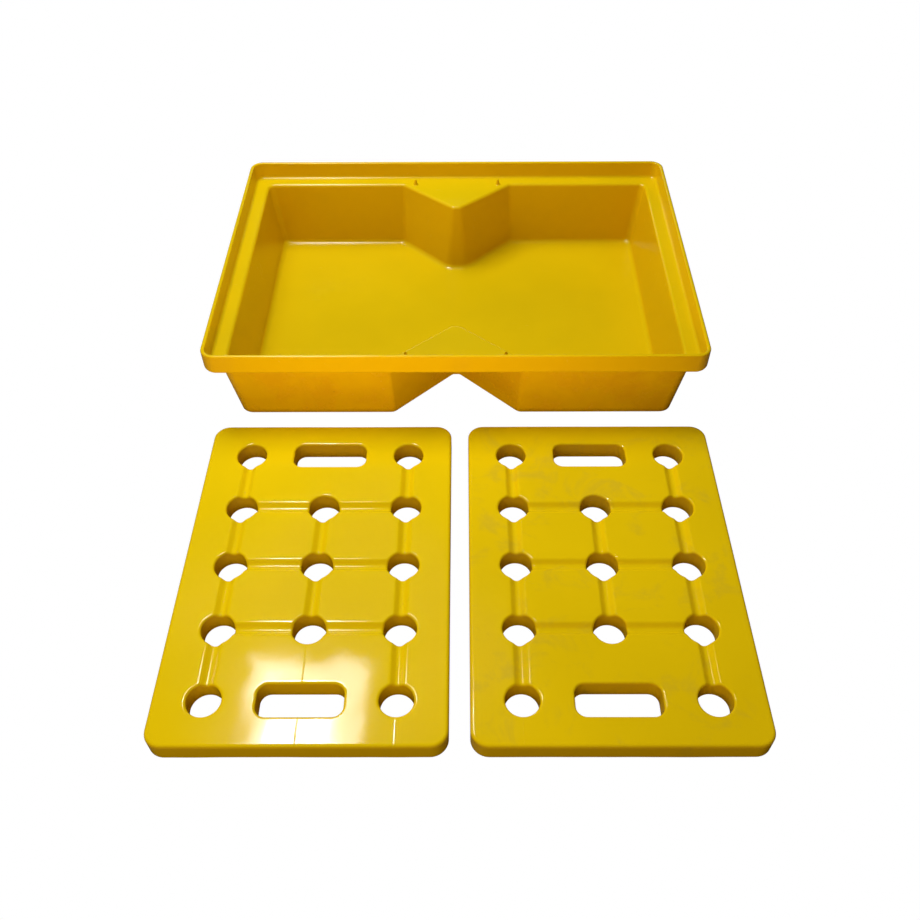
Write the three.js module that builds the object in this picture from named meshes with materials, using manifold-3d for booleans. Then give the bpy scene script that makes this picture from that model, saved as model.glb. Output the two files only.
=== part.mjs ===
// Low-profile spill containment pallet, shown apart: a moulded sump tray with its two perforated
// deck panels lying on the floor in front of it. Millimetres, +Z up, +Y towards the back of the tray,
// +X to the right. The origin is the centre of the tray's underside.

import * as THREE from 'three';
import { mergeVertices } from 'three/addons/utils/BufferGeometryUtils.js';
import Module from 'manifold-3d';

// Sump tray, driving sizes
const TRAY_LENGTH = 1000; // along X, over the lip
const TRAY_WIDTH = 710; // along Y, over the lip
const TRAY_HEIGHT = 199; // floor to the top of the lip
const FLOOR_TOP = 6;
const LEDGE_HEIGHT = 161; // top of the ledge that carries the decks
const LEDGE_UNDERSIDE = 153;
const LIP_TOP_THICKNESS = 8;
const LIP_BASE_THICKNESS = 10;
const LIP_CORNER_RADIUS = 28; // plan radius of the outside of the lip

// Outlines of the sump's walls. Each is a rectangle inset from the outside of the lip, with a
// V-shaped pillar in the middle of each long side: half widths at its mouth and its apex, and reach.
const INNER_FOOT = {
  inset: 60, cornerRadius: 16, mouth: 133, apex: 22, depth: 108, mouthRadius: 20, apexRadius: 34,
};
const INNER_TOP = {
  inset: 42, cornerRadius: 14, mouth: 128, apex: 9, depth: 98, mouthRadius: 14, apexRadius: 12,
};
const OUTER_FOOT = {
  inset: 44, cornerRadius: 24, mouth: 131, apex: 7, depth: 117, mouthRadius: 16, apexRadius: 10,
};
const OUTER_TOP = {
  inset: 26, cornerRadius: 22, mouth: 135, apex: 8, depth: 108, mouthRadius: 16, apexRadius: 10,
};

// Rounding of the tray's section
const LEDGE_EDGE_RADIUS = 7;
const SUMP_FOOT_RADIUS = 11;
const UNDERSIDE_EDGE_RADIUS = 5;
const FLANGE_ROOT_RADIUS = 4;
const LIP_ROOT_RADIUS = 7;
const LIP_RIM_RADIUS = 3.5;
const FLANGE_EDGE_RADIUS = 8;

// Locating pips on the ledge
const PIP = { height: 14, baseRadius: 7, topRadius: 2, x: 100, fromLip: 42, sunk: 2 };

// Deck panels, driving sizes
const DECK_WIDTH = 480; // along X
const DECK_LENGTH = 690; // along Y
const DECK_HEIGHT = 39;
const DECK_WALL = 5;
const DECK_CORNER_RADIUS = 30;
const DECK_EDGE_RADIUS = 4;
const HOLE_RADIUS = 28.5;
const COLUMN_PITCH = 155.5;
const ROW_PITCH = 132.3;
const SLOT_HALF_LENGTH = 71;
const SLOT_CORNER_RADIUS = 18;
const GROOVE_HALF_WIDTH = 11.5;
const GROOVE_FLOOR_HALF_WIDTH = 4;
const GROOVE_DEPTH = 7.5;
const DECK_TO_TRAY_GAP = 31; // floor gap in plan between the decks and the tray's lip
const DECK_SPREAD = 257; // each deck's centre to the line between them
const DECK_SHIFT = 8; // that line lies a little to the right of the tray's centre

// Facets per rounded corner
const CORNER_STEPS = 6;
const MOUTH_STEPS = 3;
const APEX_STEPS = 4;
const FILLET_STEPS = 3;
const HOLE_SIDES = 20;
const PIP_SIDES = 10;
const PAST = 1; // how far cutters run past the faces they cut, in millimetres

const wasm = await Module();
wasm.setup();

// ---- Conversions between three.js geometry and solids that can be joined or cut ----

function solidFrom(geometry) {
  const plain = geometry.clone();
  plain.deleteAttribute('normal');
  plain.deleteAttribute('uv');
  const merged = mergeVertices(plain, 1e-4);
  return new wasm.Manifold(new wasm.Mesh({
    numProp: 3,
    vertProperties: new Float32Array(merged.attributes.position.array),
    triVerts: new Uint32Array(merged.index.array),
  }));
}

function geometryFrom(solid) {
  const mesh = solid.getMesh();
  const geometry = new THREE.BufferGeometry();
  const positions = new Float32Array(mesh.numVert * 3);
  for (let i = 0; i < mesh.numVert; i += 1) {
    for (let k = 0; k < 3; k += 1) {
      positions[3 * i + k] = mesh.vertProperties[mesh.numProp * i + k];
    }
  }
  geometry.setAttribute('position', new THREE.BufferAttribute(positions, 3));
  geometry.setIndex(new THREE.BufferAttribute(new Uint32Array(mesh.triVerts), 1));
  geometry.computeVertexNormals();
  return geometry;
}

// ---- Plan outlines ----

// Moves each side of a closed outline outwards by `distance`. Its corners are {x, y, radius, steps},
// listed anticlockwise. A corner that bulges out gains radius, and one that points in loses it.
function offsetCorners(corners, distance) {
  return corners.map((corner, i) => {
    const before = corners[(i + corners.length - 1) % corners.length];
    const after = corners[(i + 1) % corners.length];
    const inward = new THREE.Vector2(corner.x - before.x, corner.y - before.y).normalize();
    const outward = new THREE.Vector2(after.x - corner.x, after.y - corner.y).normalize();
    const turn = inward.cross(outward);
    const normals = new THREE.Vector2(inward.y + outward.y, -inward.x - outward.x);
    const scale = distance / (1 + inward.dot(outward));
    return {
      x: corner.x + normals.x * scale,
      y: corner.y + normals.y * scale,
      radius: corner.radius + Math.sign(turn) * distance,
      steps: corner.steps,
    };
  });
}

// Points of an outline whose corners are rounded, always the same number for the same corners.
function roundedOutline(corners) {
  const points = [];
  corners.forEach((corner, i) => {
    const before = corners[(i + corners.length - 1) % corners.length];
    const after = corners[(i + 1) % corners.length];
    const toBefore = new THREE.Vector2(before.x - corner.x, before.y - corner.y).normalize();
    const toAfter = new THREE.Vector2(after.x - corner.x, after.y - corner.y).normalize();
    const half = Math.acos(toBefore.dot(toAfter)) / 2;
    const reach = corner.radius / Math.tan(half);
    const bisector = toBefore.clone().add(toAfter).normalize();
    const centre = bisector.multiplyScalar(corner.radius / Math.sin(half));
    centre.add(new THREE.Vector2(corner.x, corner.y));
    const start = new THREE.Vector2(corner.x, corner.y).addScaledVector(toBefore, reach).sub(centre);
    const end = new THREE.Vector2(corner.x, corner.y).addScaledVector(toAfter, reach).sub(centre);
    const sweep = Math.atan2(start.cross(end), start.dot(end));
    for (let step = 0; step <= corner.steps; step += 1) {
      points.push(start.clone().rotateAround(new THREE.Vector2(), (sweep * step) / corner.steps).add(centre));
    }
  });
  return points;
}

function rectangleCorners(halfX, halfY, radius, steps) {
  return [[-1, -1], [1, -1], [1, 1], [-1, 1]].map(([sx, sy]) => (
    { x: sx * halfX, y: sy * halfY, radius, steps }
  ));
}

// The sump outline: a rectangle with a V pointing in from the middle of each long side.
function sumpCorners(outline) {
  const halfX = TRAY_LENGTH / 2 - outline.inset;
  const halfY = TRAY_WIDTH / 2 - outline.inset;
  const { mouth, apex, depth } = outline;
  const corners = [];
  for (const side of [-1, 1]) {
    const along = -side; // the front side runs towards +X, the back side towards -X
    const corner = { y: side * halfY, radius: outline.cornerRadius, steps: CORNER_STEPS };
    corners.push({ x: -along * halfX, ...corner });
    for (const [x, reach] of [[-mouth, 0], [-apex, depth], [apex, depth], [mouth, 0]]) {
      corners.push({
        x: along * x,
        y: side * (halfY - reach),
        radius: reach ? outline.apexRadius : outline.mouthRadius,
        steps: reach ? APEX_STEPS : MOUTH_STEPS,
      });
    }
    corners.push({ x: along * halfX, ...corner });
  }
  return corners;
}

// ---- Sump tray ----

const INNER_WALL = { foot: INNER_FOOT, footHeight: FLOOR_TOP, top: INNER_TOP, topHeight: LEDGE_HEIGHT };
const OUTER_WALL = { foot: OUTER_FOOT, footHeight: 0, top: OUTER_TOP, topHeight: LEDGE_UNDERSIDE };

// Outline of a wall face at a height, moved outwards by `offset`.
function wallRing(wall, height, offset) {
  const share = (height - wall.footHeight) / (wall.topHeight - wall.footHeight);
  const top = sumpCorners(wall.top);
  const corners = sumpCorners(wall.foot).map((corner, i) => ({
    x: THREE.MathUtils.lerp(corner.x, top[i].x, share),
    y: THREE.MathUtils.lerp(corner.y, top[i].y, share),
    radius: THREE.MathUtils.lerp(corner.radius, top[i].radius, share),
    steps: corner.steps,
  }));
  return roundedOutline(offsetCorners(corners, offset)).map((p) => new THREE.Vector3(p.x, p.y, height));
}

// A plain rounded rectangle that keeps the X places of the V's points, so that it can be joined to it.
function lipRing(height, inset) {
  const rim = rectangleCorners(
    TRAY_LENGTH / 2 - inset, TRAY_WIDTH / 2 - inset, LIP_CORNER_RADIUS - inset, CORNER_STEPS,
  );
  const rounded = roundedOutline(rim);
  const guide = wallRing(INNER_WALL, LEDGE_HEIGHT, LEDGE_EDGE_RADIUS);
  const perCorner = CORNER_STEPS + 1;
  const perVee = 2 * (MOUTH_STEPS + 1) + 2 * (APEX_STEPS + 1);
  const ring = [];
  for (const side of [0, 1]) {
    const first = side * 2 * perCorner;
    ring.push(...rounded.slice(first, first + perCorner));
    const start = side * (2 * perCorner + perVee) + perCorner;
    for (const guidePoint of guide.slice(start, start + perVee)) {
      ring.push(new THREE.Vector2(guidePoint.x, rounded[first + perCorner - 1].y));
    }
    ring.push(...rounded.slice(first + perCorner, first + 2 * perCorner));
  }
  return ring.map((p) => new THREE.Vector3(p.x, p.y, height));
}

// Quarter turns of a rounded edge: calls ring(cosine share, sine share) from flat to upright.
function quarterTurn(ring) {
  const rings = [];
  for (let step = 0; step <= FILLET_STEPS; step += 1) {
    const angle = (Math.PI / 2) * (step / FILLET_STEPS);
    rings.push(ring(Math.cos(angle), Math.sin(angle)));
  }
  return rings;
}

function trayRings() {
  const innerBase = LIP_BASE_THICKNESS;
  const innerTop = LIP_TOP_THICKNESS;
  return [
    // underside edge, outer wall and the root of the flange
    ...quarterTurn((c, s) => wallRing(
      OUTER_WALL, UNDERSIDE_EDGE_RADIUS * (1 - c), -UNDERSIDE_EDGE_RADIUS * (1 - s),
    )),
    ...quarterTurn((c, s) => wallRing(
      OUTER_WALL, LEDGE_UNDERSIDE - FLANGE_ROOT_RADIUS * (1 - s), FLANGE_ROOT_RADIUS * (1 - c),
    )),
    // underside and outside of the flange
    ...quarterTurn((c, s) => lipRing(
      LEDGE_UNDERSIDE + FLANGE_EDGE_RADIUS * (1 - c), FLANGE_EDGE_RADIUS * (1 - s),
    )),
    // rim of the lip
    ...quarterTurn((c, s) => lipRing(
      TRAY_HEIGHT - LIP_RIM_RADIUS * (1 - s), LIP_RIM_RADIUS * (1 - c),
    )),
    ...quarterTurn((c, s) => lipRing(
      TRAY_HEIGHT - LIP_RIM_RADIUS * (1 - c), innerTop - LIP_RIM_RADIUS * (1 - s),
    )),
    // inside of the lip and the ledge
    ...quarterTurn((c, s) => lipRing(
      LEDGE_HEIGHT + LIP_ROOT_RADIUS * (1 - s), innerBase + LIP_ROOT_RADIUS * (1 - c),
    )),
    // edge of the ledge, sump wall and its foot
    ...quarterTurn((c, s) => wallRing(
      INNER_WALL, LEDGE_HEIGHT - LEDGE_EDGE_RADIUS * (1 - c), LEDGE_EDGE_RADIUS * (1 - s),
    )),
    ...quarterTurn((c, s) => wallRing(
      INNER_WALL, FLOOR_TOP + SUMP_FOOT_RADIUS * (1 - s), -SUMP_FOOT_RADIUS * (1 - c),
    )),
  ];
}

// Skins a stack of rings with the same number of points and closes both ends with flat caps.
function skinRings(rings) {
  const count = rings[0].length;
  const positions = rings.flat().flatMap((p) => [p.x, p.y, p.z]);
  const index = [];
  for (let r = 0; r + 1 < rings.length; r += 1) {
    for (let i = 0; i < count; i += 1) {
      const a = r * count + i;
      const b = r * count + ((i + 1) % count);
      index.push(a, b, b + count, a, b + count, a + count);
    }
  }
  const cap = (ring, base, flip) => {
    const flat = ring.map((p) => new THREE.Vector2(p.x, p.y));
    for (const [a, b, c] of THREE.ShapeUtils.triangulateShape(flat, [])) {
      index.push(base + a, base + (flip ? c : b), base + (flip ? b : c));
    }
  };
  cap(rings[0], 0, true);
  cap(rings[rings.length - 1], (rings.length - 1) * count, false);
  const geometry = new THREE.BufferGeometry();
  geometry.setAttribute('position', new THREE.Float32BufferAttribute(positions, 3));
  geometry.setIndex(index);
  return geometry;
}

function pipGeometry(x, y) {
  const geometry = new THREE.CylinderGeometry(
    PIP.topRadius, PIP.baseRadius, PIP.height + PIP.sunk, PIP_SIDES,
  );
  geometry.rotateX(Math.PI / 2);
  return geometry.translate(x, y, LEDGE_HEIGHT + (PIP.height - PIP.sunk) / 2);
}

function sumpTrayGeometry() {
  let tray = solidFrom(skinRings(trayRings()));
  const pipY = TRAY_WIDTH / 2 - PIP.fromLip;
  for (const x of [-PIP.x, PIP.x]) {
    for (const y of [-pipY, pipY]) {
      tray = tray.add(solidFrom(pipGeometry(x, y)));
    }
  }
  return geometryFrom(tray);
}

// ---- Deck panels ----

function shapeFrom(points) {
  return new THREE.Shape(points.map((p) => new THREE.Vector2(p.x, p.y)));
}

function slab(points, low, high) {
  const geometry = new THREE.ExtrudeGeometry(shapeFrom(points), { depth: high - low, bevelEnabled: false });
  return geometry.translate(0, 0, low);
}

function handSlot(x, y, extra) {
  const corners = rectangleCorners(
    SLOT_HALF_LENGTH + extra, HOLE_RADIUS + extra, SLOT_CORNER_RADIUS + extra, CORNER_STEPS,
  );
  return roundedOutline(corners).map((p) => new THREE.Vector2(p.x + x, p.y + y));
}

function circle(x, y, radius) {
  return Array.from({ length: HOLE_SIDES }, (_, i) => new THREE.Vector2(
    x + radius * Math.cos((2 * Math.PI * i) / HOLE_SIDES),
    y + radius * Math.sin((2 * Math.PI * i) / HOLE_SIDES),
  ));
}

// Every round hole and both hand slots, as outlines grown by `extra`.
function openings(extra) {
  const outlines = [];
  for (let row = -2; row <= 2; row += 1) {
    for (let column = -1; column <= 1; column += 1) {
      const x = column * COLUMN_PITCH;
      const y = row * ROW_PITCH;
      if (column === 0 && Math.abs(row) === 2) {
        outlines.push(handSlot(x, y, extra));
      } else {
        outlines.push(circle(x, y, HOLE_RADIUS + extra));
      }
    }
  }
  return outlines;
}

// The drain grooves that link the holes: [x1, y1, x2, y2] of each run.
function grooveRuns() {
  const runs = [];
  for (const column of [-1, 0, 1]) {
    const ends = column === 0 ? 1 : 2;
    runs.push([column * COLUMN_PITCH, -ends * ROW_PITCH, column * COLUMN_PITCH, ends * ROW_PITCH]);
  }
  for (const row of [-1, 0, 1]) {
    runs.push([-COLUMN_PITCH, row * ROW_PITCH, COLUMN_PITCH, row * ROW_PITCH]);
  }
  return runs;
}

// A bar along a groove run whose section is a shallow trapezium hanging from the deck's top face.
function grooveBar([x1, y1, x2, y2], topHalf, bottomHalf, low, high) {
  const section = new THREE.Shape([
    new THREE.Vector2(-bottomHalf, low), new THREE.Vector2(bottomHalf, low),
    new THREE.Vector2(topHalf, high), new THREE.Vector2(-topHalf, high),
  ]);
  const length = Math.hypot(x2 - x1, y2 - y1);
  const geometry = new THREE.ExtrudeGeometry(section, { depth: length, bevelEnabled: false });
  geometry.translate(0, 0, -length / 2);
  geometry.rotateX(Math.PI / 2);
  if (Math.abs(x2 - x1) > Math.abs(y2 - y1)) {
    geometry.rotateZ(Math.PI / 2);
  }
  return geometry.translate((x1 + x2) / 2, (y1 + y2) / 2, 0);
}

function deckOutline(inset) {
  return roundedOutline(rectangleCorners(
    DECK_WIDTH / 2 - inset, DECK_LENGTH / 2 - inset, DECK_CORNER_RADIUS - inset, CORNER_STEPS,
  ));
}

function deckBody() {
  const ring = (height, inset) => deckOutline(inset).map((p) => new THREE.Vector3(p.x, p.y, height));
  const edge = DECK_EDGE_RADIUS;
  return solidFrom(skinRings([
    ring(0, 0),
    ...quarterTurn((c, s) => ring(DECK_HEIGHT - edge * (1 - s), edge * (1 - c))),
  ]));
}

function deckGeometry() {
  const plateUnderside = DECK_HEIGHT - DECK_WALL;
  const grooveFloor = DECK_HEIGHT - GROOVE_DEPTH;
  let deck = deckBody();
  deck = deck.subtract(solidFrom(slab(deckOutline(DECK_WALL), -PAST, plateUnderside)));
  for (const outline of openings(DECK_WALL)) {
    deck = deck.add(solidFrom(slab(outline, 0, DECK_HEIGHT - PAST)));
  }
  for (const run of grooveRuns()) {
    deck = deck.add(solidFrom(grooveBar(
      run, GROOVE_HALF_WIDTH + DECK_WALL, GROOVE_HALF_WIDTH, grooveFloor - DECK_WALL, DECK_HEIGHT - PAST,
    )));
  }
  for (const run of grooveRuns()) {
    deck = deck.subtract(solidFrom(grooveBar(
      run, GROOVE_HALF_WIDTH, GROOVE_FLOOR_HALF_WIDTH, grooveFloor, DECK_HEIGHT + PAST,
    )));
  }
  for (const outline of openings(0)) {
    deck = deck.subtract(solidFrom(slab(outline, -PAST, DECK_HEIGHT + PAST)));
  }
  return geometryFrom(deck);
}

// ---- Assembly ----

function yellowPlastic(colour) {
  return new THREE.MeshStandardMaterial({ color: colour, roughness: 0.35, metalness: 0 });
}

const pallet = new THREE.Group();

const tray = new THREE.Mesh(sumpTrayGeometry(), yellowPlastic(0xe0b400));
tray.name = 'sump_tray';
pallet.add(tray);

const deckCentreY = -(TRAY_WIDTH + DECK_LENGTH) / 2 - DECK_TO_TRAY_GAP;
for (const [name, side, colour] of [['deck_left', -1, 0xe6c800], ['deck_right', 1, 0xdcb800]]) {
  const deck = new THREE.Mesh(deckGeometry(), yellowPlastic(colour));
  deck.name = name;
  deck.position.set(DECK_SHIFT + side * DECK_SPREAD, deckCentreY, 0);
  pallet.add(deck);
}

export default pallet;
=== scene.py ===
"""Looks of the spill containment pallet: a moulded sump tray and two perforated deck panels.

Every size is in metres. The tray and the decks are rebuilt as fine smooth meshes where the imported
parts lie, each from the same driving dimensions as its part.
"""

import math

import bmesh
import bpy
from mathutils import Euler, Matrix, Vector, noise


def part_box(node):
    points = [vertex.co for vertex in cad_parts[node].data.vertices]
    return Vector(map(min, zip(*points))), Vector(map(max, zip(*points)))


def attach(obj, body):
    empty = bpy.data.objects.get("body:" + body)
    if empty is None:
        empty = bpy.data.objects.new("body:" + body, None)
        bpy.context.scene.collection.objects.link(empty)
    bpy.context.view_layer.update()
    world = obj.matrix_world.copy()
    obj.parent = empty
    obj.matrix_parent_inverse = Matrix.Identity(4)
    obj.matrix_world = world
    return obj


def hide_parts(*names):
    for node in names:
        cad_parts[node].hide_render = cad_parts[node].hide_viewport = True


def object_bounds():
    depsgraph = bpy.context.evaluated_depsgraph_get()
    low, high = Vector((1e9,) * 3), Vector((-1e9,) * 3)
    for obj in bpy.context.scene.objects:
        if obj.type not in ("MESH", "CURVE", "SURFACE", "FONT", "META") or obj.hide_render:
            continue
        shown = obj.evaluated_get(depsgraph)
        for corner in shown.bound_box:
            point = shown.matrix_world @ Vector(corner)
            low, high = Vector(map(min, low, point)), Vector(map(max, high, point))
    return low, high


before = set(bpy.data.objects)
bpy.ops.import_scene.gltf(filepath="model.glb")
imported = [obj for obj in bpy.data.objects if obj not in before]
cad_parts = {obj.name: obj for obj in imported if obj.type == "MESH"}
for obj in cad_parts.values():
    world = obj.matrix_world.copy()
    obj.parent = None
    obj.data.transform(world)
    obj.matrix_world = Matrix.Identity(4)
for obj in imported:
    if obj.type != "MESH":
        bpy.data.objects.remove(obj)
cad_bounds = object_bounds()

# ---- Driving dimensions of the tray ----
TRAY_LOW, TRAY_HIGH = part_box("sump_tray")
TRAY_HALF_X = (TRAY_HIGH.x - TRAY_LOW.x) / 2
TRAY_HALF_Y = (TRAY_HIGH.y - TRAY_LOW.y) / 2
TRAY_TOP = TRAY_HIGH.z
FLOOR_TOP = 0.006
LEDGE_TOP = 0.161
LEDGE_UNDERSIDE = 0.153
LIP_TOP_THICKNESS = 0.008
LIP_BASE_THICKNESS = 0.010
LIP_CORNER_RADIUS = 0.028
# Outlines of the sump's walls: inset from the outside of the lip, corner radius, the pillars' half
# widths at the mouth and the nose and their reach, and the radii of mouth and nose.
INNER_FOOT = (0.060, 0.016, 0.133, 0.022, 0.108, 0.020, 0.034)
INNER_TOP = (0.042, 0.014, 0.128, 0.009, 0.098, 0.014, 0.012)
OUTER_FOOT = (0.044, 0.024, 0.131, 0.007, 0.117, 0.016, 0.010)
OUTER_TOP = (0.026, 0.022, 0.135, 0.008, 0.108, 0.016, 0.010)
LEDGE_EDGE_RADIUS = 0.007
SUMP_FOOT_RADIUS = 0.011
UNDERSIDE_EDGE_RADIUS = 0.005
FLANGE_ROOT_RADIUS = 0.004
LIP_ROOT_RADIUS = 0.007
LIP_RIM_RADIUS = 0.0035
FLANGE_EDGE_RADIUS = 0.008
PIP_HEIGHT = 0.014
PIP_X = 0.100
PIP_FROM_LIP = 0.042
PIP_FOOT_RADIUS = 0.0078
PIP_WAIST_RADIUS = 0.0046
PIP_TIP_RADIUS = 0.0020
PIP_SUNK = 0.0015

# ---- Driving dimensions of a deck ----
DECK_HALF_X = 0.240
DECK_HALF_Y = 0.345
DECK_TOP = 0.039
DECK_WALL = 0.005
DECK_CORNER_RADIUS = 0.030
DECK_EDGE_RADIUS = 0.006
HOLE_RADIUS = 0.0285
COLUMN_PITCH = 0.1555
ROW_PITCH = 0.1323
SLOT_HALF_LENGTH = 0.071
SLOT_CORNER_RADIUS = 0.018
RIM_RADIUS = 0.0045
TUBE_FOOT_ROUND = 0.001
TUBE_ROOT_FILLET = 0.002
SKIRT_FOOT_ROUND = 0.0008
SKIRT_ROOT_FILLET = 0.004
GROOVE_TOP = 0.0122  # half widths of a drain groove at the deck's top and at its floor
GROOVE_FLOOR = 0.0035
GROOVE_DEPTH = 0.0075
SEAM_HEIGHT = 0.00015
SEAM_HALF_WIDTH = 0.0011

CORNER_STEPS = 16
MOUTH_STEPS = 10
NOSE_STEPS = 12
FILLET_STEPS = 8
WALL_STEPS = 10
PIP_SIDES = 24
DECK_CORNER_STEPS = 12
FILLET_MIDDLE = 0.3  # how far out a three-point fillet has its middle point


# ---- Small helpers ----

def mesh_object(name, points, faces, merge=None):
    """A smooth object. Points closer together than `merge` become one."""
    mesh = bpy.data.meshes.new(name)
    mesh.from_pydata(points, [], faces)
    work = bmesh.new()
    work.from_mesh(mesh)
    if merge:
        bmesh.ops.remove_doubles(work, verts=work.verts, dist=merge)
    bmesh.ops.recalc_face_normals(work, faces=work.faces)
    for face in work.faces:
        face.smooth = True
    work.to_mesh(mesh)
    work.free()
    piece = bpy.data.objects.new(name, mesh)
    bpy.context.scene.collection.objects.link(piece)
    return piece


def apply_modifiers(piece):
    graph = bpy.context.evaluated_depsgraph_get()
    mesh = bpy.data.meshes.new_from_object(piece.evaluated_get(graph))
    piece.modifiers.clear()
    piece.data = mesh
    return piece


def quarter_turn(place):
    """place(cosine, sine) for each step of a quarter turn."""
    turns = [math.pi / 2 * step / FILLET_STEPS for step in range(FILLET_STEPS + 1)]
    return [place(math.cos(turn), math.sin(turn)) for turn in turns]


def lerp(a, b, share):
    return a + (b - a) * share


# ---- Tray ----

def offset_corners(corners, distance):
    """Moves each side of an anticlockwise outline outwards. A corner is (x, y, radius, steps)."""
    moved = []
    for i, (x, y, radius, steps) in enumerate(corners):
        before, after = corners[i - 1], corners[(i + 1) % len(corners)]
        inward = Vector((x - before[0], y - before[1])).normalized()
        outward = Vector((after[0] - x, after[1] - y)).normalized()
        turn = inward.x * outward.y - inward.y * outward.x
        scale = distance / (1 + inward.dot(outward))
        moved.append((
            x + (inward.y + outward.y) * scale,
            y - (inward.x + outward.x) * scale,
            radius + math.copysign(distance, turn),
            steps,
        ))
    return moved


def rounded_outline(corners):
    """Points of an outline whose corners (x, y, radius, steps) are rounded."""
    points = []
    for i, (x, y, radius, steps) in enumerate(corners):
        corner = Vector((x, y))
        to_before = (Vector(corners[i - 1][:2]) - corner).normalized()
        to_after = (Vector(corners[(i + 1) % len(corners)][:2]) - corner).normalized()
        half = math.acos(to_before.dot(to_after)) / 2
        centre = corner + (to_before + to_after).normalized() * (radius / math.sin(half))
        start = corner + to_before * (radius / math.tan(half)) - centre
        end = corner + to_after * (radius / math.tan(half)) - centre
        sweep = math.atan2(start.x * end.y - start.y * end.x, start.dot(end))
        for step in range(steps + 1):
            turn = sweep * step / steps
            points.append(centre + Vector((
                start.x * math.cos(turn) - start.y * math.sin(turn),
                start.x * math.sin(turn) + start.y * math.cos(turn),
            )))
    return points


def sump_corners(outline):
    """Corners of the sump's outline, with the two V-shaped pillars."""
    inset, corner_radius, mouth, nose, reach, mouth_radius, nose_radius = outline
    half_x, half_y = TRAY_HALF_X - inset, TRAY_HALF_Y - inset
    corners = []
    for side in (-1, 1):
        along = -side
        corners.append((-along * half_x, side * half_y, corner_radius, CORNER_STEPS))
        for x, depth in ((-mouth, 0), (-nose, reach), (nose, reach), (mouth, 0)):
            radius, steps = (nose_radius, NOSE_STEPS) if depth else (mouth_radius, MOUTH_STEPS)
            corners.append((along * x, side * (half_y - depth), radius, steps))
        corners.append((along * half_x, side * half_y, corner_radius, CORNER_STEPS))
    return corners


INNER_WALL = (INNER_FOOT, FLOOR_TOP, INNER_TOP, LEDGE_TOP)
OUTER_WALL = (OUTER_FOOT, 0, OUTER_TOP, LEDGE_UNDERSIDE)


def wall_ring(wall, height, offset):
    """Outline of a wall's face at a height, moved outwards by an offset."""
    foot, foot_height, top, top_height = wall
    share = (height - foot_height) / (top_height - foot_height)
    corners = [
        (lerp(a[0], b[0], share), lerp(a[1], b[1], share), lerp(a[2], b[2], share), a[3])
        for a, b in zip(sump_corners(foot), sump_corners(top))
    ]
    return [(p.x, p.y, height) for p in rounded_outline(offset_corners(corners, offset))]


def lip_ring(height, inset):
    """Outline of the lip. It has as many points as a wall's, so that the two can be joined."""
    radius = LIP_CORNER_RADIUS - inset
    half_x, half_y = TRAY_HALF_X - inset, TRAY_HALF_Y - inset
    rim = rounded_outline([
        (sx * half_x, sy * half_y, radius, CORNER_STEPS)
        for sx, sy in ((-1, -1), (1, -1), (1, 1), (-1, 1))
    ])
    guide = wall_ring(INNER_WALL, LEDGE_TOP, LEDGE_EDGE_RADIUS)
    corner_count = CORNER_STEPS + 1
    vee_count = 2 * (MOUTH_STEPS + 1) + 2 * (NOSE_STEPS + 1)
    ring = []
    for side in (0, 1):
        first = side * 2 * corner_count
        ring += rim[first:first + corner_count]
        start = side * (2 * corner_count + vee_count) + corner_count
        straight_y = rim[first + corner_count - 1].y
        ring += [Vector((x, straight_y)) for x, _, _ in guide[start:start + vee_count]]
        ring += rim[first + corner_count:first + 2 * corner_count]
    return [(p.x, p.y, height) for p in ring]


def wall_rings(wall, low, high):
    """Rings between two heights on a wall's face, without the end ones."""
    return [wall_ring(wall, lerp(low, high, step / WALL_STEPS), 0) for step in range(1, WALL_STEPS)]


def tray_rings():
    """The tray's skin from its outer foot up, over the lip, and down to the sump's floor."""
    underside = LEDGE_UNDERSIDE
    edge = UNDERSIDE_EDGE_RADIUS
    root = FLANGE_ROOT_RADIUS
    flange = FLANGE_EDGE_RADIUS
    rim = LIP_RIM_RADIUS
    lip_root = LIP_ROOT_RADIUS
    ledge_edge = LEDGE_EDGE_RADIUS
    foot = SUMP_FOOT_RADIUS
    base = LIP_BASE_THICKNESS
    rings = quarter_turn(lambda c, s: wall_ring(OUTER_WALL, edge * (1 - c), -edge * (1 - s)))
    rings += wall_rings(OUTER_WALL, edge, underside - root)
    rings += quarter_turn(
        lambda c, s: wall_ring(OUTER_WALL, underside - root * (1 - s), root * (1 - c))
    )
    rings += quarter_turn(lambda c, s: lip_ring(underside + flange * (1 - c), flange * (1 - s)))
    rings += quarter_turn(lambda c, s: lip_ring(TRAY_TOP - rim * (1 - s), rim * (1 - c)))
    rings += quarter_turn(
        lambda c, s: lip_ring(TRAY_TOP - rim * (1 - c), LIP_TOP_THICKNESS - rim * (1 - s))
    )
    rings += quarter_turn(
        lambda c, s: lip_ring(LEDGE_TOP + lip_root * (1 - s), base + lip_root * (1 - c))
    )
    rings += quarter_turn(
        lambda c, s: wall_ring(INNER_WALL, LEDGE_TOP - ledge_edge * (1 - c), ledge_edge * (1 - s))
    )
    rings += wall_rings(INNER_WALL, LEDGE_TOP - ledge_edge, FLOOR_TOP + foot)
    rings += quarter_turn(
        lambda c, s: wall_ring(INNER_WALL, FLOOR_TOP + foot * (1 - s), -foot * (1 - c))
    )
    return rings


def skin_rings(name, rings):
    """A closed object over rings of equal length, with a flat face at each end."""
    count = len(rings[0])
    points = [p for ring in rings for p in ring]
    faces = [list(range(count))[::-1]]
    for r in range(len(rings) - 1):
        for i in range(count):
            j = (i + 1) % count
            low, high = r * count, (r + 1) * count
            faces.append([low + i, low + j, high + j, high + i])
    faces.append(list(range((len(rings) - 1) * count, len(rings) * count)))
    return mesh_object(name, points, faces)


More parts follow.
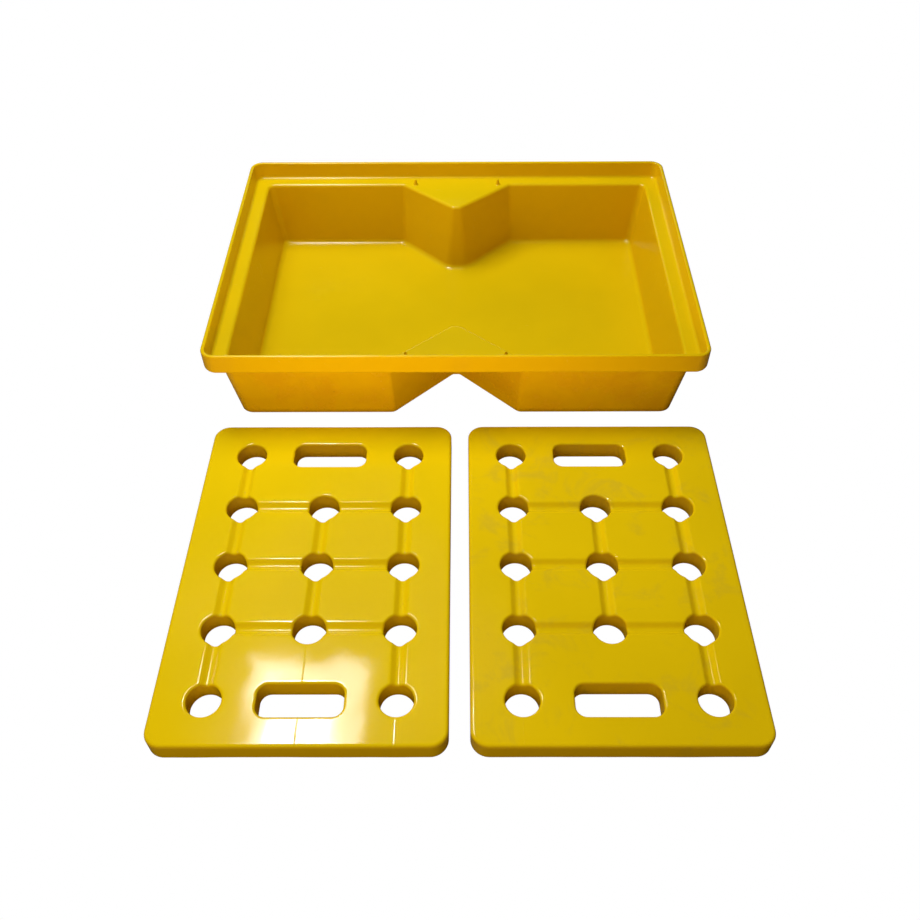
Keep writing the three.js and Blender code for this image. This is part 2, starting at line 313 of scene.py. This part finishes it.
def pip_points(x, y, first):
    """A small locating pip with a flared foot and a rounded tip, as a closed turned form."""
    flare = PIP_FOOT_RADIUS - PIP_WAIST_RADIUS
    profile = [(PIP_FOOT_RADIUS, -PIP_SUNK)]
    profile += quarter_turn(
        lambda c, s: (PIP_FOOT_RADIUS - flare * s, 0.0001 + flare * 0.8 * (1 - c))
    )
    profile += quarter_turn(
        lambda c, s: (PIP_TIP_RADIUS * c, PIP_HEIGHT - PIP_TIP_RADIUS * (1 - s))
    )[1:-1]
    points, faces = [], []
    for radius, height in profile:
        for side in range(PIP_SIDES):
            turn = 2 * math.pi * side / PIP_SIDES
            points.append((
                x + radius * math.cos(turn), y + radius * math.sin(turn), LEDGE_TOP + height,
            ))
    points.append((x, y, LEDGE_TOP + PIP_HEIGHT))
    tip = first + len(points) - 1
    for r in range(len(profile) - 1):
        for i in range(PIP_SIDES):
            j = (i + 1) % PIP_SIDES
            low, high = first + r * PIP_SIDES, first + (r + 1) * PIP_SIDES
            faces.append([low + i, low + j, high + j, high + i])
    last = first + (len(profile) - 1) * PIP_SIDES
    faces += [[last + i, last + (i + 1) % PIP_SIDES, tip] for i in range(PIP_SIDES)]
    faces.append([first + i for i in range(PIP_SIDES)][::-1])
    return points, faces


def build_tray():
    tray = skin_rings("sump_tray_moulding", tray_rings())
    points, faces = [], []
    pip_y = TRAY_HALF_Y - PIP_FROM_LIP
    for x in (-PIP_X, PIP_X):
        for y in (-pip_y, pip_y):
            pip, pip_faces = pip_points(x, y, len(points))
            points += pip
            faces += pip_faces
    pips = mesh_object("pips", points, faces)
    union = tray.modifiers.new("pips", "BOOLEAN")
    union.operation = "UNION"
    union.solver = "EXACT"
    union.object = pips
    apply_modifiers(tray)
    bpy.data.objects.remove(pips)
    return tray


# ---- Deck panels ----

FINE_STOPS = [0, 0.0005, 0.0011, 0.002, 0.003, 0.004, 0.005, 0.006, 0.007, 0.008,
              0.009, 0.010, 0.011, 0.012, 0.013, 0.014, 0.016]
FINE = FINE_STOPS[-1]
BORDER = 0.032  # width of the plain border outside the cells
COARSE_STEP = 0.007
# Half sizes and corner radius of an opening.
HOLE_SIZE = (HOLE_RADIUS, HOLE_RADIUS, HOLE_RADIUS)
SLOT_SIZE = (SLOT_HALF_LENGTH, HOLE_RADIUS, SLOT_CORNER_RADIUS)


def smooth_ramp(x, rounding=0.3):
    """0 below 0, 1 above 1, and x between, with both corners rounded over `rounding` each way."""
    if x > 0.5:
        return 1 - smooth_ramp(1 - x, rounding)
    if x <= -rounding:
        return 0.0
    return (x + rounding) ** 2 / (4 * rounding) if x < rounding else x


def groove_share(across, wider):
    """How much of its depth a groove has at a distance from its middle line."""
    return smooth_ramp((GROOVE_TOP + wider - across) / (GROOVE_TOP - GROOVE_FLOOR))


def groove_drop(x, y, wider=0.0):
    """How far the drain grooves lower the surface at a point of the deck."""
    drop = 0.0
    for column in (-1, 0, 1):
        end = ROW_PITCH * (1 if column == 0 else 2)
        if abs(y) <= end:
            drop = max(drop, groove_share(abs(x - column * COLUMN_PITCH), wider))
    for row in (-1, 0, 1):
        if abs(x) <= COLUMN_PITCH:
            drop = max(drop, groove_share(abs(y - row * ROW_PITCH), wider))
    return drop * GROOVE_DEPTH


def seam_rise(x, y, seams):
    """Fine raised lines that the joints of the mould leave."""
    for x1, y1, x2, y2 in seams:
        if min(x1, x2) <= x <= max(x1, x2) and abs(y - y1) < SEAM_HALF_WIDTH and y1 == y2:
            return SEAM_HEIGHT * (1 - (abs(y - y1) / SEAM_HALF_WIDTH) ** 2)
        if min(y1, y2) <= y <= max(y1, y2) and abs(x - x1) < SEAM_HALF_WIDTH and x1 == x2:
            return SEAM_HEIGHT * (1 - (abs(x - x1) / SEAM_HALF_WIDTH) ** 2)
    return 0.0


def warp(x, y, seed):
    """Slow unevenness of the cooled moulding, never above its nominal surface."""
    slow = noise.noise(Vector((x * 7 + seed, y * 7, seed)))
    quick = noise.noise(Vector((x * 17, y * 17 + seed, seed)))
    return 0.0005 * (slow - 1) + 0.00025 * (quick - 1)


def edge_stops(minus, plus):
    """Places along a cell's side, close together across the groove in its middle."""
    def far(end):
        steps = max(2, round((end - FINE) / COARSE_STEP))
        return [lerp(FINE, end, step / steps) for step in range(1, steps + 1)]
    left = [-stop for stop in reversed(far(minus))]
    return left + [-s for s in reversed(FINE_STOPS[1:])] + FINE_STOPS + far(plus)


def opening_point(kind, sign_x, sign_y, value, size, extra):
    """The point of an opening's outline, grown by `extra`, for one point of the cell's side."""
    half_x, half_y, radius = size
    middle_x, middle_y = half_x - radius, half_y - radius
    radius += extra

    def bulge(place, straight):
        return radius if place <= straight else math.sqrt(radius ** 2 - (place - straight) ** 2)

    if kind == "end":  # across the X axis
        return sign_x * (middle_x + bulge(abs(value), middle_y)), value
    if kind == "side":  # across the Y axis
        return value, sign_y * (middle_y + bulge(abs(value), middle_x))
    first, last = max(middle_y - FINE, 0), max(middle_x - FINE, 0)
    start = math.asin(max(FINE - middle_y, 0) / radius)
    arc = (math.acos(max(FINE - middle_x, 0) / radius) - start) * radius
    along = value * (first + arc + last)
    if along < first:
        return sign_x * (middle_x + radius), sign_y * (FINE + along)
    if along < first + arc:
        turn = start + (along - first) / radius
        return (
            sign_x * (middle_x + radius * math.cos(turn)),
            sign_y * (middle_y + radius * math.sin(turn)),
        )
    return sign_x * (middle_x - (along - first - arc)), sign_y * (middle_y + radius)


def cell_loop(minus_x, plus_x, minus_y, plus_y):
    """Points of a cell's outline, anticlockwise, each with how it maps to the opening."""
    loop = []
    ys, xs = edge_stops(minus_y, plus_y), edge_stops(minus_x, plus_x)
    path = [(plus_x, y, "x") for y in ys[:-1]] + [(x, plus_y, "y") for x in reversed(xs[1:])]
    path += [(-minus_x, y, "x") for y in reversed(ys[1:])] + [(x, -minus_y, "y") for x in xs[:-1]]
    for x, y, side in path:
        sign_x, sign_y = math.copysign(1, x), math.copysign(1, y)
        if side == "x" and abs(y) <= FINE:
            loop.append((x, y, "end", sign_x, 1, y))
            continue
        if side == "y" and abs(x) <= FINE:
            loop.append((x, y, "side", 1, sign_y, x))
            continue
        half_x = plus_x if x > 0 else minus_x
        half_y = plus_y if y > 0 else minus_y
        total = half_x + half_y - 2 * FINE
        done = abs(y) - FINE if side == "x" else half_y - FINE + half_x - abs(x)
        loop.append((x, y, "corner", sign_x, sign_y, done / total))
    return loop


class Builder:
    """Collects points and faces."""

    def __init__(self):
        self.points, self.faces = [], []

    def ring(self, points):
        first = len(self.points)
        self.points += points
        return list(range(first, len(self.points)))

    def bridge(self, low, high, closed=True):
        count = len(low)
        for i in range(count if closed else count - 1):
            j = (i + 1) % count
            self.faces.append([low[i], low[j], high[j], high[i]])


def deck_cell(builder, centre_x, centre_y, reach, size, top, under):
    """One opening with its rim, its tube wall, and the deck's top and underside round it."""
    loop = cell_loop(*reach)

    def outline(extra):
        return [
            opening_point(kind, sx, sy, value, size, extra) for _, _, kind, sx, sy, value in loop
        ]

    def placed(points, height):
        return [
            (centre_x + x, centre_y + y, height(centre_x + x, centre_y + y)) for x, y in points
        ]

    def spread(inner, share):
        return [
            (lerp(ix, x, share), lerp(iy, y, share))
            for (ix, iy), (x, y, *_) in zip(inner, loop)
        ]

    # top face, from the cell's side in to the rim, then down the rim's fillet
    rings = []
    rim = outline(RIM_RADIUS)
    for share in (1.0, 0.83, 0.66, 0.5, 0.36, 0.24, 0.14, 0.06):
        rings.append(builder.ring(placed(spread(rim, share), top)))
    rings += quarter_turn(lambda c, s: builder.ring(placed(
        outline(RIM_RADIUS * (1 - s)), lambda x, y: top(x, y) - RIM_RADIUS * (1 - c)
    )))
    # tube wall down to its foot, then up its outside to the deck's underside
    bore = outline(0)
    for share in (0.25, 0.5, 0.75):
        rings.append(builder.ring(placed(
            bore, lambda x, y: lerp(top(x, y) - RIM_RADIUS, TUBE_FOOT_ROUND, share)
        )))
    shell = outline(DECK_WALL)
    middle = TUBE_ROOT_FILLET * FILLET_MIDDLE
    flared = outline(DECK_WALL + middle)
    root = outline(DECK_WALL + TUBE_ROOT_FILLET)
    for points, height in (
        (bore, lambda x, y: TUBE_FOOT_ROUND),
        (outline(TUBE_FOOT_ROUND), lambda x, y: 0),
        (outline(DECK_WALL - TUBE_FOOT_ROUND), lambda x, y: 0),
        (shell, lambda x, y: TUBE_FOOT_ROUND),
        (shell, lambda x, y: under(x, y) - TUBE_ROOT_FILLET),
        (flared, lambda x, y: under(x, y) - middle),
        (root, under),
    ):
        rings.append(builder.ring(placed(points, height)))
    for share in (0.2, 0.5, 1.0):
        rings.append(builder.ring(placed(spread(root, share), under)))
    for low, high in zip(rings, rings[1:]):
        builder.bridge(low, high)


def border_sides(half_x, half_y, xs, ys):
    """Points of a rectangle's four sides, anticlockwise from the right, at the cells' stops."""
    return [
        [(half_x, y) for y in ys], [(x, half_y) for x in reversed(xs)],
        [(-half_x, y) for y in reversed(ys)], [(x, -half_y) for x in xs],
    ]


def border_ring(inset, xs, ys, height):
    """A ring of the deck's border. Its sides repeat the cells' stops, its corners are rounded."""
    half_x, half_y = DECK_HALF_X - inset, DECK_HALF_Y - inset
    radius = DECK_CORNER_RADIUS - inset
    end_x, end_y = half_x - radius, half_y - radius
    sides = border_sides(half_x, half_y, xs, ys)
    points = []
    for quarter, side in enumerate(sides):
        points += side
        sx = 1 if quarter in (0, 3) else -1
        sy = 1 if quarter in (0, 1) else -1
        for step in range(DECK_CORNER_STEPS + 1):
            turn = math.pi / 2 * (quarter + step / DECK_CORNER_STEPS)
            points.append((
                sx * end_x + radius * math.cos(turn), sy * end_y + radius * math.sin(turn),
            ))
    return [(x, y, height(x, y)) for x, y in points]


def deck_border(builder, xs, ys, top, under, trim):
    """Border outside the cells: top, rounded edge, skirt, trimmed bottom edge and inside."""
    def start_ring(height):
        """The rectangle round the cells, its corner repeated so that it meets the rounded rings."""
        half_x, half_y = DECK_HALF_X - BORDER, DECK_HALF_Y - BORDER
        corners = [(half_x, half_y), (-half_x, half_y), (-half_x, -half_y), (half_x, -half_y)]
        points = []
        for side, corner in zip(border_sides(half_x, half_y, xs, ys), corners):
            points += side + [corner] * (DECK_CORNER_STEPS + 1)
        return [(x, y, height(x, y)) for x, y in points]

    edge = DECK_EDGE_RADIUS
    foot = SKIRT_FOOT_ROUND
    fillet = SKIRT_ROOT_FILLET
    middle = fillet * FILLET_MIDDLE
    rings = [start_ring(top)]
    for inset in (0.025, 0.018, 0.012, 0.008):
        rings.append(border_ring(inset, xs, ys, top))
    rings += quarter_turn(lambda c, s: border_ring(
        edge * (1 - s), xs, ys, lambda x, y: top(x, y) - edge * (1 - c)
    ))
    for share in (0.3, 0.6, 0.85):
        rings.append(border_ring(
            0, xs, ys, lambda x, y: lerp(top(x, y) - edge, trim(x, y) + foot, share)
        ))
    for inset, height in (
        (0, lambda x, y: trim(x, y) + foot),
        (foot, trim),
        (DECK_WALL - foot, trim),
        (DECK_WALL, lambda x, y: trim(x, y) + foot),
        (DECK_WALL, lambda x, y: under(x, y) - fillet),
        (DECK_WALL + middle, lambda x, y: under(x, y) - middle),
        (DECK_WALL + fillet, under),
    ):
        rings.append(border_ring(inset, xs, ys, height))
    rings.append(start_ring(under))
    rings = [builder.ring(ring) for ring in rings]
    for low, high in zip(rings, rings[1:]):
        builder.bridge(low, high)


def deck_seams(mirror):
    """The mould joint lines of a deck: (x1, y1, x2, y2) of each."""
    column, row = COLUMN_PITCH, ROW_PITCH
    if mirror:
        return [(-DECK_HALF_X, -row, -column, -row), (-column, -DECK_HALF_Y, -column, -2 * row)]
    return [
        (0, -2 * row, 0, -row), (0, -DECK_HALF_Y, 0, -2 * row),
        (column, -row, DECK_HALF_X, -row), (column, -DECK_HALF_Y, column, -2 * row),
    ]


def build_deck(name, node, seed, seams):
    """A deck panel: a cell round each opening, and a border round the cells."""
    low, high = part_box(node)
    centre = (low + high) / 2
    builder = Builder()
    cell_x, cell_y = COLUMN_PITCH / 2, ROW_PITCH / 2
    outer_x = DECK_HALF_X - BORDER - COLUMN_PITCH
    outer_y = DECK_HALF_Y - BORDER - 2 * ROW_PITCH

    def top(x, y):
        return DECK_TOP + warp(x, y, seed) - groove_drop(x, y) + seam_rise(x, y, seams)

    def under(x, y):
        return DECK_TOP - DECK_WALL - 0.0005 - groove_drop(x, y, wider=DECK_WALL / 2)

    def trim(x, y):
        """The bottom edge was trimmed by hand after moulding, so it wanders a little."""
        return 0.0012 * (1 + noise.noise(Vector((x * 16, y * 16, seed * 3))))

    for row in range(-2, 3):
        for column in (-1, 0, 1):
            reach = (
                outer_x if column == -1 else cell_x, outer_x if column == 1 else cell_x,
                outer_y if row == -2 else cell_y, outer_y if row == 2 else cell_y,
            )
            size = SLOT_SIZE if column == 0 and abs(row) == 2 else HOLE_SIZE
            deck_cell(builder, column * COLUMN_PITCH, row * ROW_PITCH, reach, size, top, under)

    def border_stops(cells):
        stops = []
        for middle, minus, plus in cells:
            stops += [middle + stop for stop in edge_stops(minus, plus)]
        return sorted({round(stop, 7) for stop in stops})

    xs = border_stops([
        (-COLUMN_PITCH, outer_x, cell_x), (0, cell_x, cell_x), (COLUMN_PITCH, cell_x, outer_x),
    ])
    ys = border_stops([
        (row * ROW_PITCH, outer_y if row == -2 else cell_y, outer_y if row == 2 else cell_y)
        for row in range(-2, 3)
    ])
    deck_border(builder, xs, ys, top, under, trim)
    points = [(x + centre.x, y + centre.y, z + low.z) for x, y, z in builder.points]
    return mesh_object(name, points, builder.faces, merge=0.00001)


# ---- Materials ----

TRAY_YELLOW = (0.79, 0.575, 0.002)
DECK_LEFT_YELLOW = (0.79, 0.580, 0.002)
# The right deck's yellow is a little darker than the left's: painted shade, because the light falls
# off towards the right.
DECK_RIGHT_SHADED_YELLOW = (0.76, 0.553, 0.002)
SUMP_STAIN = (0.66, 0.34, 0.005)
SUMP_DIRT = (0.20, 0.10, 0.02)
DECK_SMUDGE = (0.42, 0.31, 0.05)
FLOOR_BOUNCE = (0.22, 0.17, 0.08)
TRAY_ROUGHNESS = 0.22
DECK_ROUGHNESS = 0.075
DECK_RIGHT_SMUDGES = 0.22


class Nodes:
    """Short ways to add and link shader nodes."""

    def __init__(self, material):
        material.use_nodes = True
        self.tree = material.node_tree
        self.shader = self.tree.nodes["Principled BSDF"]
        place = self.add("ShaderNodeTexCoord")
        self.coordinates, self.normal_vector = place.outputs["Object"], place.outputs["Normal"]

    def add(self, kind, **values):
        node = self.tree.nodes.new(kind)
        for key, value in values.items():
            setattr(node, key, value)
        return node

    def link(self, source, target):
        self.tree.links.new(source, target)

    def noise(self, scale, detail=2.0, roughness=0.5, distortion=0.0, stretch=(1, 1, 1)):
        mapping = self.add("ShaderNodeMapping")
        mapping.inputs["Scale"].default_value = stretch
        self.link(self.coordinates, mapping.inputs["Vector"])
        texture = self.add("ShaderNodeTexNoise")
        texture.inputs["Scale"].default_value = scale
        texture.inputs["Detail"].default_value = detail
        texture.inputs["Roughness"].default_value = roughness
        texture.inputs["Distortion"].default_value = distortion
        self.link(mapping.outputs["Vector"], texture.inputs["Vector"])
        return texture.outputs["Fac"]

    def between(self, source, low, high, to_low=0.0, to_high=1.0):
        node = self.add("ShaderNodeMapRange", interpolation_type="SMOOTHSTEP")
        self.link(source, node.inputs["Value"])
        limits = {"From Min": low, "From Max": high, "To Min": to_low, "To Max": to_high}
        for key, value in limits.items():
            node.inputs[key].default_value = value
        return node.outputs["Result"]

    def maths(self, operation, a, b):
        node = self.add("ShaderNodeMath", operation=operation)
        for socket, value in zip(node.inputs, (a, b)):
            if isinstance(value, (int, float)):
                socket.default_value = value
            else:
                self.link(value, socket)
        return node.outputs["Value"]

    def mix(self, share, a, b):
        node = self.add("ShaderNodeMix", data_type="RGBA")
        self.link(share, node.inputs["Factor"])
        for socket, value in ((node.inputs[6], a), (node.inputs[7], b)):
            if isinstance(value, tuple):
                socket.default_value = (*value, 1)
            else:
                self.link(value, socket)
        return node.outputs[2]

    def bump(self, height, distance, strength, normal=None):
        node = self.add("ShaderNodeBump")
        node.inputs["Distance"].default_value = distance
        node.inputs["Strength"].default_value = strength
        self.link(height, node.inputs["Height"])
        if normal is not None:
            self.link(normal, node.inputs["Normal"])
        return node.outputs["Normal"]


def shade(colour, factor):
    return tuple(channel * factor for channel in colour)


def moulded_plastic(name, colour, roughness):
    """Glossy self-coloured polyethylene: slow tone changes, painted shade on side-facing walls,
    orange peel, and handling scuffs.
    """
    material = bpy.data.materials.new(name)
    nodes = Nodes(material)
    tone = nodes.between(nodes.noise(3.5, 3), 0.3, 0.7)
    body = nodes.mix(tone, shade(colour, 0.96), shade(colour, 1.03))
    normal = nodes.add("ShaderNodeSeparateXYZ")
    nodes.link(nodes.normal_vector, normal.inputs[0])
    upright = nodes.maths("ABSOLUTE", normal.outputs["Z"], 0)
    painted_side_shade = nodes.between(upright, 0.25, 0.95, 0.85, 0.0)  # painted shade: side-facing walls get a deeper, more orange colour, as walls in shade look
    # colour of the painted shade on side-facing walls
    painted_side_shade_colour = (colour[0] * 0.97, colour[1] * 0.84, colour[2])
    body = nodes.mix(painted_side_shade, body, painted_side_shade_colour)
    scuff_lines = nodes.noise(26, 4, 0.6, 1.5, stretch=(1, 9, 1))
    scuffs = nodes.between(scuff_lines, 0.66, 0.74)
    scuffs = nodes.maths("MULTIPLY", scuffs, nodes.between(nodes.noise(5, 2), 0.45, 0.65))
    nodes.colour = nodes.mix(nodes.maths("MULTIPLY", scuffs, 0.2), body, shade(colour, 0.7))
    unevenness = nodes.maths("MULTIPLY", nodes.noise(18, 3), 0.04)
    rough = nodes.maths("ADD", unevenness, roughness - 0.02)
    nodes.roughness = nodes.maths("ADD", rough, nodes.maths("MULTIPLY", scuffs, 0.25))
    waves = nodes.bump(nodes.noise(22, 1), 0.002, 0.10)
    nodes.normal = nodes.bump(nodes.noise(420, 2), 0.0003, 0.08, waves)
    nodes.shader.inputs["IOR"].default_value = 1.5
    return material, nodes


def finish_material(nodes):
    nodes.link(nodes.colour, nodes.shader.inputs["Base Color"])
    nodes.link(nodes.roughness, nodes.shader.inputs["Roughness"])
    nodes.link(nodes.normal, nodes.shader.inputs["Normal"])


def stain(nodes, mask, colour, extra_roughness):
    """Lays a stain over the colour where the mask is up."""
    nodes.colour = nodes.mix(mask, nodes.colour, colour)
    rougher = nodes.maths("MULTIPLY", mask, extra_roughness)
    nodes.roughness = nodes.maths("ADD", nodes.roughness, rougher)


def tray_material():
    """The tray's plastic, dusty and stained on the outside of the sump below the flange."""
    material, nodes = moulded_plastic("tray_plastic", TRAY_YELLOW, TRAY_ROUGHNESS)
    flat = nodes.add("ShaderNodeVectorMath", operation="MULTIPLY")
    nodes.link(nodes.coordinates, flat.inputs[0])
    flat.inputs[1].default_value = (1, 1, 0)
    outward = nodes.add("ShaderNodeVectorMath", operation="DOT_PRODUCT")
    nodes.link(flat.outputs[0], outward.inputs[0])
    nodes.link(nodes.normal_vector, outward.inputs[1])
    outside = nodes.between(outward.outputs["Value"], 0.08, 0.14)
    place = nodes.add("ShaderNodeSeparateXYZ")
    nodes.link(nodes.coordinates, place.inputs[0])
    below = nodes.between(place.outputs["Z"], LEDGE_UNDERSIDE - 0.004, LEDGE_UNDERSIDE, 1, 0)
    skin = nodes.maths("MULTIPLY", outside, below)
    clouds = nodes.between(nodes.noise(13, 6, 0.65), 0.35, 0.72, 0.05, 0.50)
    stain(nodes, nodes.maths("MULTIPLY", skin, clouds), SUMP_STAIN, 0.2)
    specks = nodes.between(nodes.noise(120, 4, 0.7), 0.60, 0.70)
    patches = nodes.between(nodes.noise(9, 3), 0.5, 0.65)
    dirt = nodes.maths("MULTIPLY", nodes.maths("MULTIPLY", specks, patches), 0.35)
    stain(nodes, nodes.maths("MULTIPLY", skin, dirt), SUMP_DIRT, 0.2)
    finish_material(nodes)
    return material


def deck_material(name, colour, smudges=0.0):
    """A deck's glossy plastic. `smudges` is how strongly its middle is soiled."""
    material, nodes = moulded_plastic(name, colour, DECK_ROUGHNESS)
    if smudges:
        clouds = nodes.between(nodes.noise(11, 6, 0.7, 0.6), 0.50, 0.68)
        stain(nodes, nodes.maths("MULTIPLY", clouds, smudges), DECK_SMUDGE, 0.15)
    finish_material(nodes)
    return material


def floor_material():
    """Pale studio floor that stays white to the eye but throws little light back up."""
    material = bpy.data.materials.new("studio_floor")
    nodes = Nodes(material)
    nodes.shader.inputs["Base Color"].default_value = (*FLOOR_BOUNCE, 1)
    nodes.shader.inputs["Roughness"].default_value = 0.9
    glow = nodes.add("ShaderNodeEmission")
    glow.inputs["Color"].default_value = (1, 1, 1, 1)
    glow.inputs["Strength"].default_value = 1.0
    seen = nodes.add("ShaderNodeLightPath").outputs["Is Camera Ray"]
    mixer = nodes.add("ShaderNodeMixShader")
    nodes.link(seen, mixer.inputs[0])
    nodes.link(nodes.shader.outputs[0], mixer.inputs[1])
    nodes.link(glow.outputs[0], mixer.inputs[2])
    nodes.link(mixer.outputs[0], nodes.tree.nodes["Material Output"].inputs["Surface"])
    return material


# ---- Stage ----

WARM = (1.0, 0.85, 0.5)
BOUNCE = (1.0, 0.74, 0.30)
SURROUNDINGS = (1.0, 0.62, 0.12)
SURROUNDINGS_STRENGTH = 0.11
FLOOR_SIZE = 30
FLOOR_CLEARANCE = 0.0005
CAMERA_PLACE = (0.0146, -1.7034, 1.4101)
CAMERA_LENS = 36.42
CAMERA_DOWN = math.radians(48.27)
CAMERA_YAW = 0.0051
CAMERA_ROLL = -0.0058


def area_light(name, place, target, size, power, glossy=False, colour=(1, 1, 1)):
    """A rectangular light. A glossy one shows only in reflections, any other only lights."""
    data = bpy.data.lights.new(name, "AREA")
    data.shape = "RECTANGLE"
    data.size, data.size_y = size
    data.energy = power
    data.color = colour
    light = bpy.data.objects.new(name, data)
    light.location = place
    light.rotation_euler = (Vector(target) - Vector(place)).to_track_quat("-Z", "Y").to_euler()
    light.visible_glossy = glossy
    light.visible_diffuse = not glossy
    light.visible_camera = False
    bpy.context.scene.collection.objects.link(light)
    return light


def light_only(light, pieces):
    """Lets a light reach only some pieces, so that it can't burn out others near it."""
    receivers = bpy.data.collections.new(light.name + "_receivers")
    for piece in pieces:
        receivers.objects.link(piece)
    light.light_linking.receiver_collection = receivers


def set_stage(tray, decks):
    """Pale floor, warm dim surroundings, and soft studio lights."""
    scene = bpy.context.scene
    scene.view_settings.view_transform = "Standard"
    floor_height = cad_bounds[0][2] - FLOOR_CLEARANCE
    bpy.ops.mesh.primitive_plane_add(size=FLOOR_SIZE, location=(0, 0, floor_height))
    floor = bpy.context.object
    floor.name = "floor"
    floor.data.materials.append(floor_material())
    world = bpy.data.worlds.new("world")
    scene.world = world
    world.use_nodes = True
    background = world.node_tree.nodes["Background"]
    background.inputs["Color"].default_value = (*SURROUNDINGS, 1)
    background.inputs["Strength"].default_value = SURROUNDINGS_STRENGTH
    area_light("overhead", (-0.50, 0.42, 2.1), (-0.03, -0.20, 0), (1.2, 1.2), 39)
    area_light("left_fill", (-2.3, -0.5, 1.3), (0, -0.4, 0.1), (1.2, 1.2), 4, colour=WARM)
    light_only(
        area_light("deck_top", (-0.50, 0.20, 2.1), (-0.03, -0.60, 0), (1.2, 1.2), 9),
        decks,
    )
    light_only(
        area_light("deck_fill", (-0.5, -2.4, 1.1), (0, -0.4, 0.1), (2.4, 1.0), 17, colour=WARM),
        decks,
    )
    light_only(
        area_light(
            "tray_bounce", (-0.15, -0.95, 0.30), (-0.10, -0.33, 0.22), (1.0, 0.2), 4.7,
            colour=BOUNCE,
        ),
        [tray],
    )
    area_light("softbox", (-0.63, -0.10, 2.04), (-0.63, -0.10, 0), (0.24, 0.36), 9, glossy=True)
    area_light(
        "softbox_halo", (-0.61, -0.10, 2.06), (-0.61, -0.10, 0), (0.46, 0.66), 10, glossy=True
    )
    area_light("back_strip", (-0.3, 2.6, 0.95), (0, -0.6, 0), (2.2, 0.35), 5, glossy=True)


def set_camera():
    data = bpy.data.cameras.new("camera")
    data.sensor_width = 36
    data.lens = CAMERA_LENS
    camera = bpy.data.objects.new("camera", data)
    camera.location = CAMERA_PLACE
    camera.rotation_mode = "XYZ"
    turn = Euler((math.pi / 2 - CAMERA_DOWN, 0, CAMERA_YAW)).to_matrix()
    camera.rotation_euler = (turn @ Matrix.Rotation(CAMERA_ROLL, 3, "Z")).to_euler()
    bpy.context.scene.collection.objects.link(camera)
    bpy.context.scene.camera = camera


def add_piece(piece, node, body, material):
    """Finishes a mesh and lets it stand in for its part."""
    piece.data.materials.clear()
    piece.data.materials.append(material)
    normals = piece.modifiers.new("normals", "WEIGHTED_NORMAL")
    normals.weight = 80
    normals.keep_sharp = True
    apply_modifiers(piece)
    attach(piece, body)
    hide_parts(node)


def main():
    set_camera()
    tray = build_tray()
    left = build_deck("deck_left_moulding", "deck_left", 1.7, deck_seams(False))
    right = build_deck("deck_right_moulding", "deck_right", 5.2, deck_seams(True))
    left_plastic = deck_material("deck_left_plastic", DECK_LEFT_YELLOW)
    right_plastic = deck_material("deck_right_plastic", DECK_RIGHT_SHADED_YELLOW, DECK_RIGHT_SMUDGES)
    add_piece(tray, "sump_tray", "tray", tray_material())
    add_piece(left, "deck_left", "deck_left", left_plastic)
    add_piece(right, "deck_right", "deck_right", right_plastic)
    set_stage(tray, [left, right])


main()
